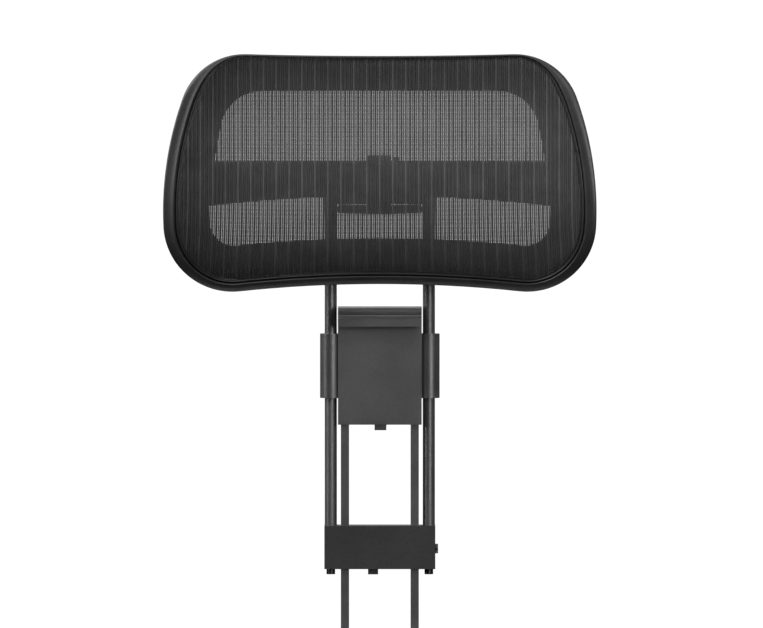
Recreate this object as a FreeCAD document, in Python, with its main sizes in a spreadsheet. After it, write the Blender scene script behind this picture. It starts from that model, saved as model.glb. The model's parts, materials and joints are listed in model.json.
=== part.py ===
import FreeCAD, Part
import Sketcher
import math
import os

# Headrest attachment for a mesh task chair.
#
# Frame: millimetres, +Z up, -Y towards the sitter, and +X to the right of somebody who faces the mesh. The
# origin is the middle of the hook's seat, which rests on the top edge of the chair's back. Four groups: the
# bracket that stays on the chair, the lift (posts, carriage and crosshead), the head that tilts on the lift, and
# the knob that sets how hard the tilt is held.

# ---------------------------------------------------------------- driving dimensions, in mm and degrees

DIMENSIONS = {
    # Outline of the head: five tangent arcs on each side, from the top centre to the bottom centre.
    "rim_half_width": 166.6,
    "rim_crown": 204.0,  # height of the top edge at the centre
    "rim_crown_slope": 1.69,  # how far the top edge has risen in angle where the shoulder begins
    "rim_shoulder_radius": 50.0,
    "rim_side_lean": 19.5,
    "rim_side_radius": 262.6,
    "rim_jaw_start": 2.5,
    "rim_jaw_radius": 53.2,
    "rim_chin_slope": 5.6,
    # The same for the rim's inner edge, where the mesh carrier sits.
    "face_half_width": 158.3,
    "face_crown": 202.4,
    "face_crown_slope": 2.09,
    "face_shoulder_radius": 44.1,
    "face_side_lean": 25.5,
    "face_side_radius": 186.8,
    "face_jaw_start": 9.1,
    "face_jaw_radius": 48.4,
    "face_chin_slope": 6.44,
    # The head bends round a vertical line in front of it. The walls are measured from that line, at the height
    # where the lower part of the head begins to roll back.
    "bend_front": 504.0,  # how far the line is in front of the hook seat
    "roll_height": 108.0,
    "roll_radius": 309.0,  # in the rim's front; the walls behind it roll round the same centre
    "rim_front": 460.0,
    "carrier_front": 462.0,
    "mesh_front": 464.5,
    "mesh_back": 465.7,
    "shell_front": 476.3,
    "shell_back": 480.0,
    "blank_depth": 105.0,  # of the outlines before they are trimmed to the bend
    "trim_low": 10.0,
    "trim_high": 230.0,
    "trim_back": 600.0,
    "carrier_width": 3.5,
    "carrier_play": 0.05,
    "shell_inset": 1.0,
    # How far across the rim its screws are, as a share from its inner edge: where it is narrow, and where wide.
    "shell_screw_narrow": 0.42,
    "shell_screw_wide": 0.48,
    "shell_screw_length": 7.0,
    # Windows in the rear shell.
    "upper_top": 177.2,
    "upper_bottom": 123.1,
    "upper_half_width": 127.6,
    "upper_lean": 10.3,
    "upper_corner": 33.0,
    "lower_top": 95.7,
    "lower_bottom": 63.0,
    "lower_half_width": 131.3,
    "lower_top_radius": 1217.0,
    "lower_bottom_radius": 1167.0,
    "lower_corner": 19.0,
    # Flat boss on the rear shell, and the tilt bracket bolted to it.
    "boss_half_width": 32.0,
    "boss_low": 98.0,
    "boss_high": 121.0,
    "boss_back": 23.0,
    "boss_front": 27.0,
    "plate_half_width": 30.0,
    "plate_low": 98.5,
    "plate_high": 120.5,
    "plate_thickness": 4.0,
    "plate_screw_across": 22.0,
    "plate_screw_low": 103.0,
    "plate_screw_high": 116.0,
    "plate_screw_depth": 27.5,
    "stem_low": 104.0,
    "stem_high": 124.0,
    # Tilt axle, in front of the hook seat and above it.
    "axle_front": 4.5,
    "axle_height": 114.3,
    "axle_radius": 4.0,
    "axle_play": 0.05,
    "barrel_radius": 12.5,
    "barrel_left": -8.4,
    "barrel_right": 5.2,
    "ear_left_low": -12.1,
    "ear_left_high": -9.5,
    "ear_right_low": 6.3,
    "ear_right_high": 8.9,
    "ear_left_radius": 8.0,
    "washer_thickness": 1.0,
    "washer_radius": 12.4,
    "bolt_head_radius": 6.5,
    "bolt_head_height": 4.0,
    "bolt_end": 14.4,
    "spring_radius": 7.0,
    "spring_thickness": 0.7,
    "spring_gap": 0.03,
    "knob_low": 10.4,
    "knob_high": 15.4,
    "knob_radius": 11.1,
    "knob_notch_radius": 1.4,
    "knob_notches": 12.0,
    "knob_bore_gap": 0.1,  # between the end of the axle and the bottom of the knob's bore
    # Posts and what joins them.
    "post_across": 38.1,
    "post_back": 13.5,
    "post_radius": 4.75,
    "post_top": 118.0,
    "post_foot": -161.1,
    "post_play": 0.05,
    "post_thread_radius": 2.5,
    "post_thread_depth": 22.0,
    "post_thread_spare": 4.0,
    "tie_height": 84.8,
    "tie_radius": 3.5,
    "tie_bow_radius": 1500.0,
    "tie_reach": 32.5,
    "tie_pin_start": 29.25,
    "tie_pin_radius": 1.95,
    "tie_pin_end": 37.0,
    "tie_hole_radius": 2.0,
    "web_low": 88.7,
    "web_front": 9.5,
    "web_back": 17.5,
    "crosshead_top": 121.0,
    "socket_low": 98.0,
    "socket_radius": 8.2,
    "arm_left": -9.3,
    "arm_right": 8.9,
    "arm_low": 88.1,
    "grub_height": 110.0,
    # Bracket on the top edge of the chair's back.
    "hook_half_width": 32.5,
    "hook_top": 8.9,
    "hook_lip_front": 8.8,
    "hook_lip_low": -6.0,
    "hook_roof": 1.5,
    "hook_pad_inset": 0.5,
    "seat_half_depth": 4.5,
    "rib_top": 4.1,  # a half-round rib along the front of the hook
    "rib_radius": 2.1,
    "nose_bottom": 5.8,  # and above it a nose that is round at the top
    "nose_front": 10.6,
    "nose_radius": 3.1,
    "bracket_back": 22.5,
    "bracket_low": -82.6,
    "sleeve_radius": 8.4,
    "sleeve_low": -62.0,
    "sleeve_high": -12.0,
    "bush_radius": 5.8,
    "tab_left": -4.1,
    "tab_right": 5.1,
    "tab_low": -87.0,
    "tab_front": 8.0,
    "tab_back": 14.0,
    # Rails, and the foot that bolts to the lower part of the chair's back.
    "rail_across": 27.1,
    "rail_width": 6.4,
    "rail_depth": 12.0,
    "rail_top": -30.0,
    "rail_foot": -405.0,
    "rail_play": 0.1,
    "rail_screw_high": -42.0,
    "rail_screw_low": -68.0,
    "rail_screw_depth": 10.0,
    "foot_half_width": 42.0,
    "foot_low": -427.0,
    "foot_high": -380.0,
    "foot_corner": 8.0,
    "foot_thickness": 5.0,
    "foot_pad_thickness": 1.5,
    "foot_bolt_across": 30.0,
    "foot_bolt_height": -416.0,
    "foot_bolt_radius": 3.3,
    "foot_screw_high": -387.0,
    "foot_screw_low": -399.0,
    # Carriage that runs on the rails and carries the posts.
    "carriage_half_width": 43.1,
    "carriage_low": -194.8,
    "carriage_high": -161.1,
    "carriage_front": 3.5,
    "carriage_back": 23.5,
    "carriage_tab_left": -9.2,
    "carriage_tab_right": -1.3,
    "carriage_tab_low": -199.2,
    "carriage_tab_front": 9.0,
    "carriage_tab_back": 15.0,
    "slider_wall": 1.0,
    "pinch_height": -179.0,
    "pinch_back": 8.6,
    "pinch_split": 34.0,
    "carriage_cover_half_width": 40.0,
    "carriage_cover_low": -192.0,
    "carriage_cover_high": -164.0,
    "carriage_cover_thickness": 3.0,
    "carriage_cover_screw_across": 12.0,
    "carriage_thread_depth": 8.0,
    # Cover behind the bracket.
    "cover_half_width": 32.5,
    "cover_low": -80.0,
    "cover_high": 5.0,
    "cover_depth": 7.0,
    "cover_wall": 1.5,
    "cover_boss_radius": 3.2,
    "cover_screw_high": -10.0,
    "cover_screw_low": -56.0,
    # Screws: three sizes, each with its clearance hole.
    "small_shank_radius": 1.45,
    "small_hole_radius": 1.5,
    "small_head_radius": 2.5,
    "small_head_height": 1.6,
    "small_length": 10.0,
    "medium_shank_radius": 1.95,
    "medium_hole_radius": 2.0,
    "medium_head_radius": 3.8,
    "medium_head_height": 2.2,
    "large_shank_radius": 2.45,
    "large_hole_radius": 2.6,
    "large_head_radius": 3.4,
    "large_head_height": 4.4,
    "socket_depth_share": 0.6,
    "socket_width_share": 0.55,
    "screw_spare": 1.0,  # of each thread beyond the end of its screw
    "drill_start": 2.0,  # how far off the surface a slanting drill begins
    "overlap": 1.0,  # how far a piece runs into the one that it is joined to or cut from
}

doc = FreeCAD.newDocument("headrest")
sheet = doc.addObject("Spreadsheet::Sheet", "Dims")
for row, (alias, number) in enumerate(DIMENSIONS.items(), start=1):
    sheet.set(f"A{row}", str(number))
    sheet.setAlias(f"A{row}", alias)
doc.recompute()


# ---------------------------------------------------------------- sizes that stay bound to the sheet


class Size:
    """A number from the sheet, or one worked out from others: its value, and the expression that gives it."""

    def __init__(self, value, text=None):
        self.value = float(value)
        self.text = f"({self.value!r})" if text is None else text

    def __add__(self, other):
        other = sized(other)
        return Size(self.value + other.value, f"({self.text} + {other.text})")

    def __sub__(self, other):
        other = sized(other)
        return Size(self.value - other.value, f"({self.text} - {other.text})")

    def __mul__(self, other):
        other = sized(other)
        return Size(self.value * other.value, f"({self.text} * {other.text})")

    def __truediv__(self, other):
        other = sized(other)
        return Size(self.value / other.value, f"({self.text} / {other.text})")

    def __neg__(self):
        return sized(0) - self

    def __radd__(self, other):
        return sized(other) + self

    def __rsub__(self, other):
        return sized(other) - self

    def __rmul__(self, other):
        return sized(other) * self


def sized(number):
    return number if isinstance(number, Size) else Size(number)


def dim(alias):
    return Size(sheet.get(alias), f"Dims.{alias}")


def sine(angle):
    angle = sized(angle)
    return Size(math.sin(math.radians(angle.value)), f"sin({angle.text} * 1 deg)")


def cosine(angle):
    angle = sized(angle)
    return Size(math.cos(math.radians(angle.value)), f"cos({angle.text} * 1 deg)")


def root(square):
    return Size(math.sqrt(square.value), f"sqrt({square.text})")


def bind(thing, name, size):
    size = sized(size)
    if "Dims." in size.text:
        thing.setExpression(name, size.text)
    else:
        setattr(thing, name, size.value)


# ---------------------------------------------------------------- primitives and booleans

ROTATIONS = {
    "+X": FreeCAD.Rotation(FreeCAD.Vector(0, 1, 0), 90),
    "-X": FreeCAD.Rotation(FreeCAD.Vector(0, 1, 0), -90),
    "+Y": FreeCAD.Rotation(FreeCAD.Vector(1, 0, 0), -90),
    "-Y": FreeCAD.Rotation(FreeCAD.Vector(1, 0, 0), 90),
    "+Z": FreeCAD.Rotation(),
    "-Z": FreeCAD.Rotation(FreeCAD.Vector(1, 0, 0), 180),
}


def put(thing, at, axis="+Z"):
    """Places a primitive at a bound point, with its own Z along axis."""
    start = FreeCAD.Vector(*(sized(c).value for c in at))
    thing.Placement = FreeCAD.Placement(start, ROTATIONS[axis])
    for letter, coordinate in zip("xyz", at):
        coordinate = sized(coordinate)
        if "Dims." in coordinate.text:
            thing.setExpression(f"Placement.Base.{letter}", coordinate.text)


def box(label, low, high):
    block = doc.addObject("Part::Box", label)
    for name, start, end in zip(("Length", "Width", "Height"), low, high):
        bind(block, name, sized(end) - sized(start))
    put(block, low)
    return block


def rod(label, at, axis, radius, length):
    cylinder = doc.addObject("Part::Cylinder", label)
    bind(cylinder, "Radius", radius)
    bind(cylinder, "Height", length)
    put(cylinder, at, axis)
    return cylinder


def fuse(label, shapes):
    joined = doc.addObject("Part::MultiFuse", label)
    joined.Shapes = shapes
    joined.Refine = True
    return joined


def cut(label, base, tools):
    if len(tools) > 1:
        tools = [fuse(f"{label}_tools", tools)]
    remains = doc.addObject("Part::Cut", label)
    remains.Base = base
    remains.Tool = tools[0]
    return remains


def tube(label, at, axis, outer, inner, length):
    """A sleeve, with its bore cut right through."""
    return cut(
        label,
        rod(f"{label}_outside", at, axis, outer, length),
        [rod(f"{label}_bore", at, axis, inner, length)],
    )


def copies(label, master, placements):
    """Identical pieces as one node: a copy of the master at each placement."""
    doc.recompute()
    placed = []
    for placement in placements:
        piece = master.Shape.copy()
        piece.Placement = placement.multiply(master.Placement)
        placed.append(piece)
    node = doc.addObject("Part::Feature", label)
    node.Shape = Part.makeCompound(placed)
    return node


def facing(x, y, z, axis):
    """A placement for a fastener whose head looks along axis."""
    return FreeCAD.Placement(
        FreeCAD.Vector(*(sized(c).value for c in (x, y, z))), ROTATIONS[axis]
    )


def screw(label, kind, length):
    """A socket-head screw: the head stands on the XY plane and the shank goes down from it."""
    head_radius = dim(f"{kind}_head_radius")
    head_height = dim(f"{kind}_head_height")
    shank = rod(f"{label}_shank", (0, 0, 0), "-Z", dim(f"{kind}_shank_radius"), length)
    head = rod(f"{label}_head", (0, 0, 0), "+Z", head_radius, head_height)
    recess = doc.addObject("Part::Prism", f"{label}_recess")
    recess.Polygon = 6
    bind(recess, "Circumradius", head_radius * dim("socket_width_share"))
    bind(recess, "Height", head_height)
    put(recess, (0, 0, head_height * (1 - dim("socket_depth_share"))))
    return cut(label, fuse(f"{label}_blank", [shank, head]), [recess])


# ---------------------------------------------------------------- sketches and bodies


def body(label):
    return doc.addObject("PartDesign::Body", label)


def sketch(owner, label, role, offset=0):
    """A sketch on one of the body's origin planes, moved along the plane's normal by offset."""
    drawing = owner.newObject("Sketcher::SketchObject", label)
    plane = [f for f in owner.Origin.OriginFeatures if f.Role == role][0]
    drawing.AttachmentSupport = (plane, "")
    drawing.MapMode = "FlatFace"
    offset = sized(offset)
    drawing.AttachmentOffset = FreeCAD.Placement(
        FreeCAD.Vector(0, 0, offset.value), FreeCAD.Rotation()
    )
    if "Dims." in offset.text:
        drawing.setExpression("AttachmentOffset.Base.z", offset.text)
    return drawing


def constrain(drawing, constraint, size):
    number = drawing.addConstraint(constraint)
    if "Dims." in size.text:
        drawing.setExpression(f"Constraints[{number}]", size.text)


def pin_point(drawing, edge, end, point):
    """Holds one end of an edge at its bound coordinates."""
    for size, kind, axis in zip(point, ("DistanceX", "DistanceY"), (-2, -1)):
        size = sized(size)
        if abs(size.value) < 1e-9:
            drawing.addConstraint(
                Sketcher.Constraint("PointOnObject", edge, end, axis)
            )
        else:
            constrain(
                drawing, Sketcher.Constraint(kind, -1, 1, edge, end, size.value), size
            )


def arc_between(start, end, radius):
    """The shorter arc between two points: a plus radius turns left on the way, and a minus radius right."""
    chord = end - start
    to_centre = math.sqrt(max(radius**2 - (chord.Length / 2) ** 2, 0.0))
    aside = FreeCAD.Vector(-chord.y, chord.x, 0).normalize() * to_centre
    centre = (start + end) / 2 + aside * (1 if radius > 0 else -1)
    first, last = (start, end) if radius > 0 else (end, start)
    angles = [math.atan2(p.y - centre.y, p.x - centre.x) for p in (first, last)]
    circle = Part.Circle(centre, FreeCAD.Vector(0, 0, 1), abs(radius))
    return Part.ArcOfCircle(circle, *angles)


def draw_loop(drawing, steps):
    """A closed outline. Each step is a corner and the signed radius of the edge that leads on, or None."""
    values = [FreeCAD.Vector(*(sized(c).value for c in point), 0) for point, _ in steps]
    ends = []
    for i, (_, radius) in enumerate(steps):
        start, end = values[i], values[(i + 1) % len(steps)]
        if radius is None:
            edge = drawing.addGeometry(Part.LineSegment(start, end), False)
            ends.append((edge, 1, 2))
        else:
            edge = drawing.addGeometry(arc_between(start, end, radius.value), False)
            ends.append((edge, 1, 2) if radius.value > 0 else (edge, 2, 1))
    for i, (edge, _, last) in enumerate(ends):
        following = ends[(i + 1) % len(ends)]
        drawing.addConstraint(
            Sketcher.Constraint("Coincident", edge, last, following[0], following[1])
        )
    for (edge, first, _), (point, radius) in zip(ends, steps):
        pin_point(drawing, edge, first, point)
        if radius is not None:
            size = radius if radius.value > 0 else -radius
            constrain(drawing, Sketcher.Constraint("Radius", edge, size.value), size)


def draw_rectangle(drawing, low, high):
    corners = (low, (high[0], low[1]), high, (low[0], high[1]))
    draw_loop(drawing, [(corner, None) for corner in corners])


def draw_circles(drawing, centres, radius):
    radius = sized(radius)
    for centre in centres:
        middle = FreeCAD.Vector(*(sized(c).value for c in centre), 0)
        circle = Part.Circle(middle, FreeCAD.Vector(0, 0, 1), radius.value)
        edge = drawing.addGeometry(circle, False)
        pin_point(drawing, edge, 3, centre)
        constrain(drawing, Sketcher.Constraint("Radius", edge, radius.value), radius)


def pad(owner, drawing, length, symmetric=False):
    feature = owner.newObject("PartDesign::Pad", f"{drawing.Label}_pad")
    feature.Profile = drawing
    feature.SideType = "Symmetric" if symmetric else "One side"
    bind(feature, "Length", length)
    doc.recompute()
    return feature


def pocket(owner, drawing, length, along_normal=False):
    """Cuts against the sketch's normal, or along it. It stops the build if it removes nothing."""
    doc.recompute()
    before = owner.Shape.Volume
    feature = owner.newObject("PartDesign::Pocket", f"{drawing.Label}_pocket")
    feature.Profile = drawing
    feature.Reversed = along_normal
    bind(feature, "Length", length)
    doc.recompute()
    if owner.Shape.Volume > before - 1e-3:
        raise RuntimeError(f"{feature.Label} cuts nothing")
    return feature


def both_sides(x, *rest):
    """The same place on the left and on the right."""
    return [(-x, *rest), (x, *rest)]


# ---------------------------------------------------------------- outline of the head


def outline_arcs(edge, inset):
    """The arcs down the right side: each one's signed radius, and the headings it begins and ends with."""
    crown_slope, side_lean = dim(f"{edge}_crown_slope"), dim(f"{edge}_side_lean")
    jaw_start, chin_slope = dim(f"{edge}_jaw_start"), dim(f"{edge}_chin_slope")
    shoulder = dim(f"{edge}_shoulder_radius") - inset
    side = dim(f"{edge}_side_radius") - inset
    jaw = dim(f"{edge}_jaw_radius") - inset
    half_width = dim(f"{edge}_half_width") - inset
    crown = (
        half_width
        - shoulder * (sine(crown_slope) + cosine(side_lean))
        - side * (1 - cosine(side_lean))
    ) / sine(crown_slope)
    arcs = [
        (crown, sized(0), crown_slope),
        (-shoulder, crown_slope, side_lean - 90),
        (-side, side_lean - 90, -90 - jaw_start),
        (-jaw, -90 - jaw_start, -180 - chin_slope),
    ]
    reach = sum((r * (sine(b) - sine(a)) for r, a, b in arcs), sized(0))
    return arcs + [(reach / sine(chin_slope), -180 - chin_slope, sized(-180))]


def right_half(edge, inset):
    """Corners from the top centre to the bottom centre, each with the signed radius that leads on."""
    across, height = sized(0), dim(f"{edge}_crown") - inset
    steps = []
    for radius, begin, end in outline_arcs(edge, inset):
        steps.append(((across, height), radius))
        across = across + radius * (sine(end) - sine(begin))
        height = height + radius * (cosine(begin) - cosine(end))
    steps.append(((sized(0), height), None))
    return steps


def mirrored(steps):
    """Closes a right half with its mirror image. The last step is the point on the centre line."""
    back = [
        ((-steps[i + 1][0][0], steps[i + 1][0][1]), steps[i][1])
        for i in range(len(steps) - 2, 0, -1)
    ]
    first_left = (-steps[1][0][0], steps[1][0][1])
    last = ((steps[-1][0]), steps[-2][1])
    return steps[:-1] + [last] + back[1:] + [(first_left, steps[0][1])]


def outline_point(edge, arc, heading):
    """The point where that arc of the right side has that heading."""
    across, height = 0.0, dim(f"{edge}_crown").value
    for number, (radius, begin, end) in enumerate(outline_arcs(edge, 0)):
        a = math.radians(begin.value)
        b = math.radians(heading if number == arc else end.value)
        across += radius.value * (math.sin(b) - math.sin(a))
        height += radius.value * (math.cos(a) - math.cos(b))
        if number == arc:
            return across, height
    raise ValueError(f"{edge} has no arc {arc}")


def upper_window():
    """Straight top and bottom, leaning sides, and round upper corners."""
    top, bottom = dim("upper_top"), dim("upper_bottom")
    half_width, lean, corner = dim("upper_half_width"), dim("upper_lean"), dim("upper_corner")
    reach = half_width * cosine(lean) + bottom * sine(lean) - corner
    centre = (reach - (top - corner) * sine(lean)) / cosine(lean)
    side = (centre + corner * cosine(lean), top - corner + corner * sine(lean))
    return [
        ((centre, top), -corner),
        (side, None),
        ((half_width, bottom), None),
        ((-half_width, bottom), None),
        ((-side[0], side[1]), -corner),
        ((-centre, top), None),
    ]


def lower_window():
    """Both long edges arch like the chin, the upper corners are sharp and the lower ones round."""
    top, bottom = dim("lower_top"), dim("lower_bottom")
    half_width, corner = dim("lower_half_width"), dim("lower_corner")
    arch, floor = dim("lower_top_radius"), dim("lower_bottom_radius")
    shoulder = top - arch + root(arch * arch - half_width * half_width)
    inward = half_width - corner
    reach = floor + corner
    centre = bottom - floor + root(reach * reach - inward * inward)
    share = floor / reach
    foot = (inward * share, (bottom - floor) * (1 - share) + centre * share)
    return [
        ((sized(0), top), -arch),
        ((half_width, shoulder), None),
        ((half_width, centre), -corner),
        (foot, floor),
        ((sized(0), bottom), floor),
        ((-foot[0], foot[1]), -corner),
        ((-half_width, centre), None),
        ((-half_width, shoulder), -arch),
    ]


def rolled_wall(radius):
    """Corners down the section of a wall: straight as far as the roll, then an arc that curls back."""
    start, low = dim("roll_height"), dim("trim_low")
    arc = dim("roll_radius") - radius + dim("rim_front")
    drop = start - low
    foot = radius + arc - root(arc * arc - drop * drop)
    return [((radius, dim("trim_high")), None), ((radius, start), arc), ((foot, low), None)]


def trim_to_bend(owner, front, back):
    """Cuts a padded outline down to what is between two walls, each turned round the bend's line."""
    for name, radius, edge in (
        ("inside", front, sized(0)),
        ("outside", back, dim("trim_back")),
    ):
        drawing = sketch(owner, f"{owner.Label}_{name}", "YZ_Plane")
        drawing.setExpression("AttachmentOffset.Base.x", "-Dims.bend_front")
        draw_loop(
            drawing,
            [((edge, dim("trim_high")), None)]
            + rolled_wall(radius)
            + [((edge, dim("trim_low")), None)],
        )
        doc.recompute()
        before = owner.Shape.Volume
        groove = owner.newObject("PartDesign::Groove", f"{drawing.Label}_groove")
        groove.Profile = drawing
        groove.ReferenceAxis = (drawing, ["V_Axis"])
        groove.Angle = 360
        doc.recompute()
        if owner.Shape.Volume > before - 1e-3:
            raise RuntimeError(f"{groove.Label} cuts nothing")


def bent_plate(label, loops, front, back):
    """A plate of the given outlines, bent to the head's curve."""
    owner = body(label)
    drawing = sketch(owner, f"{label}_outline", "XZ_Plane")
    for steps in loops:
        draw_loop(drawing, steps)
    pad(owner, drawing, dim("blank_depth"))
    trim_to_bend(owner, front, back)
    return owner


def on_bend(x, z, radius):
    """A placement on the wall of that radius, with its Z pointing straight out of the back."""
    arc = dim("roll_radius").value - radius + dim("rim_front").value
    lean = math.asin(max(dim("roll_height").value - z, 0.0) / arc)
    radius += arc * (1 - math.cos(lean))
    turn = FreeCAD.Rotation(FreeCAD.Vector(0, 0, 1), -math.degrees(math.asin(x / radius)))
    tip = FreeCAD.Rotation(FreeCAD.Vector(1, 0, 0), math.degrees(lean))
    y = math.sqrt(radius**2 - x**2) - dim("bend_front").value
    return FreeCAD.Placement(
        FreeCAD.Vector(x, y, z), turn.multiply(tip).multiply(ROTATIONS["+Y"])
    )


# ---------------------------------------------------------------- head


def shell_screw_places():
    """Near the middle of the rim: shoulders, sides, jaws and chin."""
    places = []
    for arc, heading, band in (
        (1, -64, "wide"),
        (2, -90, "wide"),
        (3, -140, "narrow"),
        (4, -183, "narrow"),
    ):
        outward = dim(f"shell_screw_{band}").value
        ends = [outline_point(edge, arc, heading) for edge in ("face", "rim")]
        x, z = (inner + outward * (outer - inner) for inner, outer in zip(*ends))
        places += both_sides(x, z)
    return [on_bend(x, z, dim("shell_back").value) for x, z in places]


def make_head():
    rim = mirrored(right_half("rim", 0))
    face = mirrored(right_half("face", 0))
    play = dim("carrier_play")
    inner = dim("carrier_width")
    frame_blank = bent_plate(
        "rim_frame_blank", [rim, face], dim("rim_front"), dim("shell_front")
    )
    carrier = bent_plate(
        "mesh_carrier",
        [mirrored(right_half("face", play)), mirrored(right_half("face", inner))],
        dim("carrier_front"),
        dim("shell_front"),
    )
    mesh = bent_plate(
        "mesh_panel",
        [mirrored(right_half("face", inner + play))],
        dim("mesh_front"),
        dim("mesh_back"),
    )
    shell_blank = bent_plate(
        "rear_shell_blank",
        [mirrored(right_half("rim", dim("shell_inset"))), upper_window(), lower_window()],
        dim("shell_front"),
        dim("shell_back"),
    )
    boss = sketch(shell_blank, "rear_shell_boss", "XZ_Plane", dim("boss_back"))
    draw_rectangle(
        boss,
        (-dim("boss_half_width"), dim("boss_low")),
        (dim("boss_half_width"), dim("boss_high")),
    )
    pad(shell_blank, boss, dim("boss_front") - dim("boss_back"))
    holes = sketch(shell_blank, "rear_shell_bolt_holes", "XZ_Plane")
    draw_circles(holes, plate_screw_centres(), dim("medium_hole_radius"))
    pocket(shell_blank, holes, dim("plate_screw_depth"), along_normal=True)

    places = shell_screw_places()
    depth = dim("shell_screw_length")
    fastener = screw("shell_screw", "small", depth)
    start = dim("drill_start")
    drill = rod(
        "shell_screw_drill",
        (0, 0, start),
        "-Z",
        dim("small_hole_radius"),
        start + depth + dim("screw_spare"),
    )
    holes = copies("shell_screw_holes", drill, places)
    return {
        "rim_frame": cut("rim_frame", frame_blank, [holes]),
        "mesh_carrier": carrier,
        "mesh_panel": mesh,
        "rear_shell": cut("rear_shell", shell_blank, [holes]),
        "shell_screws": copies("shell_screws", fastener, places),
    }


def plate_screw_centres():
    return [
        place
        for height in (dim("plate_screw_low"), dim("plate_screw_high"))
        for place in both_sides(dim("plate_screw_across"), height)
    ]


def make_tilt_bracket():
    """The plate on the rear shell, with the barrel that turns on the axle."""
    left, right = dim("barrel_left"), dim("barrel_right")
    rear = dim("plate_thickness") - dim("boss_back")
    axle = (left, -dim("axle_front"), dim("axle_height"))
    plate = box(
        "tilt_plate",
        (-dim("plate_half_width"), -dim("boss_back"), dim("plate_low")),
        (dim("plate_half_width"), rear, dim("plate_high")),
    )
    stem = box(
        "tilt_stem",
        (left, rear, dim("stem_low")),
        (right, -dim("axle_front"), dim("stem_high")),
    )
    barrel = rod("tilt_barrel", axle, "+X", dim("barrel_radius"), right - left)
    bore = rod("tilt_bore", axle, "+X", dim("axle_radius") + dim("axle_play"), right - left)
    holes = [
        rod(
            f"tilt_plate_hole_{i}",
            (x, rear, z),
            "-Y",
            dim("medium_hole_radius"),
            dim("plate_thickness"),
        )
        for i, (x, z) in enumerate(plate_screw_centres())
    ]
    length = dim("plate_screw_depth") - dim("boss_back") + dim("plate_thickness")
    fastener = screw("plate_screw", "medium", length)
    places = [facing(x, rear, z, "+Y") for x, z in plate_screw_centres()]
    return {
        "tilt_bracket": cut(
            "tilt_bracket", fuse("tilt_bracket_blank", [plate, stem, barrel]), [bore] + holes
        ),
        "bracket_screws": copies("bracket_screws", fastener, places),
    }


# ---------------------------------------------------------------- lift


def axle_point(x):
    return (x, -dim("axle_front"), dim("axle_height"))


def make_axle():
    """The bolt through the ears, the washers that rub on the barrel, and the springs under the knob."""
    radius, play = dim("axle_radius"), dim("axle_play")
    start = dim("ear_left_low")
    shank = rod("axle_shank", axle_point(start), "+X", radius, dim("bolt_end") - start)
    head = rod(
        "axle_head", axle_point(start), "-X", dim("bolt_head_radius"), dim("bolt_head_height")
    )
    recess = doc.addObject("Part::Prism", "axle_recess")
    recess.Polygon = 6
    bind(recess, "Circumradius", dim("bolt_head_radius") * dim("socket_width_share"))
    bind(recess, "Height", dim("bolt_head_height"))
    put(
        recess,
        axle_point(start - dim("bolt_head_height") * (1 - dim("socket_depth_share"))),
        "-X",
    )
    washers = [
        tube(
            f"friction_washer_{side}",
            axle_point(at),
            "+X",
            dim("washer_radius"),
            radius + play,
            dim("washer_thickness"),
        )
        for side, at in (
            ("left", dim("ear_left_high")),
            ("right", dim("ear_right_low") - dim("washer_thickness")),
        )
    ]
    springs = [
        tube(
            f"disc_spring_{i}",
            axle_point(dim("ear_right_high") + i * (dim("spring_thickness") + dim("spring_gap"))),
            "+X",
            dim("spring_radius"),
            radius + play,
            dim("spring_thickness"),
        )
        for i in range(2)
    ]
    return {
        "axle_bolt": cut("axle_bolt", fuse("axle_blank", [shank, head]), [recess]),
        "friction_washers": gather("friction_washers", washers),
        "disc_springs": gather("disc_springs", springs),
    }


def gather(label, shapes):
    """Separate solids that share a node."""
    node = doc.addObject("Part::Compound", label)
    node.Links = shapes
    return node


def make_crosshead():
    """The block on the post tops, with the two ears that hold the tilt axle."""
    across, back = dim("post_across"), dim("post_back")
    front, rear = dim("web_front"), dim("web_back")
    top, height = dim("crosshead_top"), dim("axle_height")
    pieces = [
        box("crosshead_web", (-across, front, dim("web_low")), (across, rear, top)),
        box(
            "crosshead_arm",
            (dim("arm_left"), front, dim("arm_low")),
            (dim("arm_right"), rear, dim("web_low") + dim("overlap")),
        ),
    ]
    for side, x in (("left", -across), ("right", across)):
        low = dim("socket_low")
        pieces.append(
            rod(f"crosshead_socket_{side}", (x, back, low), "+Z", dim("socket_radius"), top - low)
        )
    for side, radius in (("left", dim("ear_left_radius")), ("right", dim("barrel_radius"))):
        low, high = dim(f"ear_{side}_low"), dim(f"ear_{side}_high")
        pieces.append(rod(f"ear_{side}_round", axle_point(low), "+X", radius, high - low))
        pieces.append(
            box(f"ear_{side}_root", (low, -dim("axle_front"), height - radius), (high, rear, top))
        )
    start, end = dim("ear_left_low"), dim("ear_right_high")
    bore = dim("axle_radius") + dim("axle_play")
    tools = [rod("crosshead_axle_bore", axle_point(start), "+X", bore, end - start)]
    for side, x in (("left", -across), ("right", across)):
        tools.append(
            rod(
                f"crosshead_post_bore_{side}",
                (x, back, dim("arm_low")),
                "+Z",
                dim("post_radius") + dim("post_play"),
                dim("post_top") - dim("arm_low"),
            )
        )
        tools.append(
            rod(
                f"crosshead_grub_hole_{side}",
                (x, back, dim("grub_height")),
                "+Y",
                dim("medium_hole_radius"),
                dim("socket_radius") + dim("overlap"),
            )
        )
    grubs = [
        rod(
            f"grub_{side}",
            (x, back + dim("post_radius"), dim("grub_height")),
            "+Y",
            dim("medium_shank_radius"),
            dim("socket_radius") - dim("post_radius"),
        )
        for side, x in (("left", -across), ("right", across))
    ]
    return {
        "crosshead": cut("crosshead", fuse("crosshead_blank", pieces), tools),
        "crosshead_screws": gather("crosshead_screws", grubs),
    }


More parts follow.
